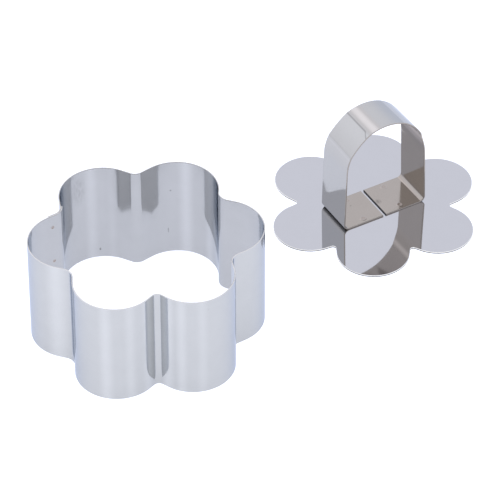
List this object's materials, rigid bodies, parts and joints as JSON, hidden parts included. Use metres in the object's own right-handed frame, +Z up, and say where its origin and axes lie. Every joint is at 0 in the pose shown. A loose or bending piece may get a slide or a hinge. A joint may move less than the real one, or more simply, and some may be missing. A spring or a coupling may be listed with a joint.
{
  "type": "mousse ring",
  "caption": "Flower-shaped forming ring of thin stainless sheet, open at both ends, with a loose plate presser that has a strap handle.",
  "frame": {"origin": "centre of the ring's base, on the plane that the ring and the presser both stand on", "axes": "+Z up out of the ring; +X to the right and +Y away, seen from the front, with the presser to the right and behind"},
  "size_m": [0.1726, 0.1558, 0.0463],
  "materials": {
    "ring_sheet": "bright stainless steel sheet, cold rolled and polished, with a faint grain along the strip",
    "plate_sheet": "mirror-polished stainless steel sheet",
    "strap_sheet": "polished stainless steel strip",
    "weld_marks": "spot-weld marks, slightly heat-tinted"
  },
  "bodies": {
    "ring": {"ring_band": "ring_sheet", "ring_seam_welds": "weld_marks"},
    "presser": {"presser_plate": "plate_sheet", "handle_strap": "strap_sheet", "handle_welds": "weld_marks"}
  },
  "joints": [
    {"name": "presser_lift", "type": "slide", "parent": "ring", "child": "presser", "axis": [0, 0, 1], "range_m": [0, 0.055]}
  ]
}
